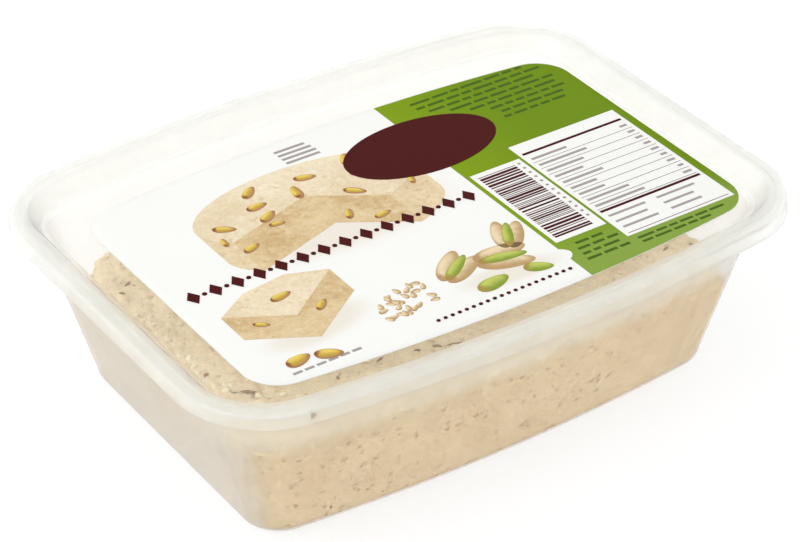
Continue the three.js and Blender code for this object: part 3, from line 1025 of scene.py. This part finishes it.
printed("print_shadows", [oval(cake_x + 2, cake_y - cake_h - 1.0, 35, 13.5, 0, 48),
                          oval(-45.5, -26.5, 18, 7.5, 8, 40), oval(2.5, -33.6, 17, 5.2, -4, 36)],
        1, shadow_ink)
printed("print_cake_side", [cut_out(*arc(180, cut_from), *arc(cut_from, 180, cake_h)),
                            cut_out(*arc(cut_to, 360), *arc(360, cut_to, cake_h))], 2, side_ink)
middle, sunk_middle = (cake_x, cake_y), (cake_x, cake_y - cake_h)
wedge_left, wedge_front, wedge_right = (-62.0, -12.0), (-47.0, -20.5), (-31.0, -9.0)
foot_left, foot_front, foot_right = (-62.0, -22.0), (-47.0, -30.5), (-31.0, -19.5)
printed("print_cake_cut", [
    cut_out(middle, on_cake(cut_from), on_cake(cut_from, cake_h), sunk_middle),
    cut_out(middle, sunk_middle, on_cake(cut_to, cake_h), on_cake(cut_to)),
    cut_out(wedge_left, wedge_front, foot_front, foot_left),
    cut_out(wedge_front, wedge_right, foot_right, foot_front)], 3, cut_ink)
printed("print_cake_top", [
    cut_out(middle, *arc(cut_to, cut_from + 360, steps=60)),
    cut_out(wedge_left, wedge_front, wedge_right, (-41.0, -5.0), (-53.0, -6.5))], 4, cream_ink)

nuts, skins = [], []


def lay_kernel(x, y, turn, half_length, half_width, steps, skin_shift, skin_more):
    """A kernel with its skin, which shows past it at its lower right."""
    narrowing = 0.2
    skins.append(oval(x + skin_shift[0], y - skin_shift[1], half_length + skin_more[0],
                      half_width + skin_more[1], turn, steps, narrowing))
    nuts.append(oval(x, y, half_length, half_width, turn, steps, narrowing))


for degrees, share, turn in ((20, 0.6, 20), (75, 0.55, -15), (118, 0.75, 40), (155, 0.45, 5),
                             (188, 0.8, -30), (340, 0.8, 10), (48, 0.85, 65), (98, 0.2, 80),
                             (318, 0.5, -40), (205, 0.45, 30)):
    lay_kernel(*on_cake(degrees, 0, share), turn, 2.5, 1.0, 20, (0.3, 0.35), (0.4, 0.35))
for x, y, turn, length in ((-41.5, 8.5, 20, 2.2), (-31.0, 14.0, -10, 1.8), (-14.5, 8.0, 60, 1.9),
                           (-8.0, 3.5, 10, 2.1), (-56.0, -19.0, -35, 1.7), (-40.5, -20.0, 40, 2.0),
                           (-46.5, -12.0, 10, 2.6), (6.5, 12.5, 70, 1.6), (-45.5, 14.0, 80, 1.5)):
    lay_kernel(x, y, turn, length, length * 0.4, 18, (0.25, 0.25), (0.35, length * 0.1))
for x, y, turn in ((-56.5, -35.0, 12), (-49.5, -36.6, -25)):
    lay_kernel(x, y, turn, 3.0, 1.45, 22, (0.3, 0.4), (0.3, 0.35))
printed("print_kernel_skins", skins, 5, skin_ink)
printed("print_kernels", nuts, 6, kernel_ink)

shells, green_nuts = [], []
for x, y, turn, size in ((-6.5, -25.0, 35, 1.0), (5.0, -27.5, -12, 1.1), (11.5, -20.5, 60, 0.9)):
    angle = math.radians(turn + 90)
    apart = 1.9 * size
    for side in (-1, 1):
        shells.append(oval(x + side * apart * math.cos(angle), y + side * apart * math.sin(angle),
                           6.4 * size, 2.5 * size, turn + side * 9, 28, 0.15))
    green_nuts.append(oval(x, y, 5.6 * size, 1.5 * size, turn, 24, 0.15))
green_nuts += [oval(-3.0, -35.0, 4.6, 2.2, 10, 24, 0.2), oval(9.5, -35.4, 3.6, 1.8, -25, 22, 0.2)]
printed("print_shells", shells, 4, shell_ink)
printed("print_green_kernels", green_nuts, 6, green_kernel_ink)
draw = random.Random(23)
sesame = [oval(-24.0 + draw.uniform(-7, 7), -29.5 + draw.uniform(-5.0, 5.0), 1.25, 0.7,
               draw.uniform(0, 180), 14, 0.3) for _ in range(26)]
printed("print_sesame", sesame, 4, shell_ink)

# ---- Table, light and camera ----
# The tub stands on a plain white sweep under large soft lights, seen from the front left.
floor = start_from(bpy.ops.mesh.primitive_plane_add, "white_table", size=6)
paper, _, surface = new_material("white table")
surface.inputs["Base Color"].default_value = (0.22, 0.22, 0.22, 1)
surface.inputs["Emission Color"].default_value = (1, 1, 1, 1)
surface.inputs["Emission Strength"].default_value = 0.76
surface.inputs["Roughness"].default_value = 0.9
floor.data.materials.append(paper)

world = bpy.data.worlds.new("studio")
bpy.context.scene.world = world
world.use_nodes = True
sky = world.node_tree.nodes["Background"].inputs
sky["Color"].default_value = (1.0, 1.0, 1.0, 1)
sky["Strength"].default_value = 0.97


def softbox(name, place, aim, size, power):
    light = bpy.data.lights.new(name, "AREA")
    light.shape = "RECTANGLE"
    light.size, light.size_y = size
    light.energy = power
    lamp = bpy.data.objects.new(name, light)
    bpy.context.scene.collection.objects.link(lamp)
    lamp.location = place
    lamp.rotation_euler = (Vector(aim) - Vector(place)).to_track_quat("-Z", "Y").to_euler()


softbox("key_softbox", (-0.75, 0.1, 1.0), (0, 0, 0.02), (0.9, 0.7), 5.4)
softbox("left_strip", (-0.52, 0.86, 0.76), (0, 0, 0.04), (0.9, 0.05), 1.4)
softbox("front_strip", (0.58, -0.44, 1.02), (0, 0, 0.04), (0.9, 0.05), 1.4)

camera_data = bpy.data.cameras.new("camera")
camera = bpy.data.objects.new("camera", camera_data)
bpy.context.scene.collection.objects.link(camera)
camera_data.sensor_fit = "HORIZONTAL"
camera_data.sensor_width = 36
camera_data.lens = 127.4
camera_data.clip_start = 0.01
camera.location = (-0.3183, -0.4672, 0.4098)
target = Vector((0.00377, 0.00567, 0.022))
camera.rotation_euler = (target - camera.location).to_track_quat("-Z", "Y").to_euler()
bpy.context.scene.camera = camera
bpy.context.scene.view_settings.view_transform = "Standard"
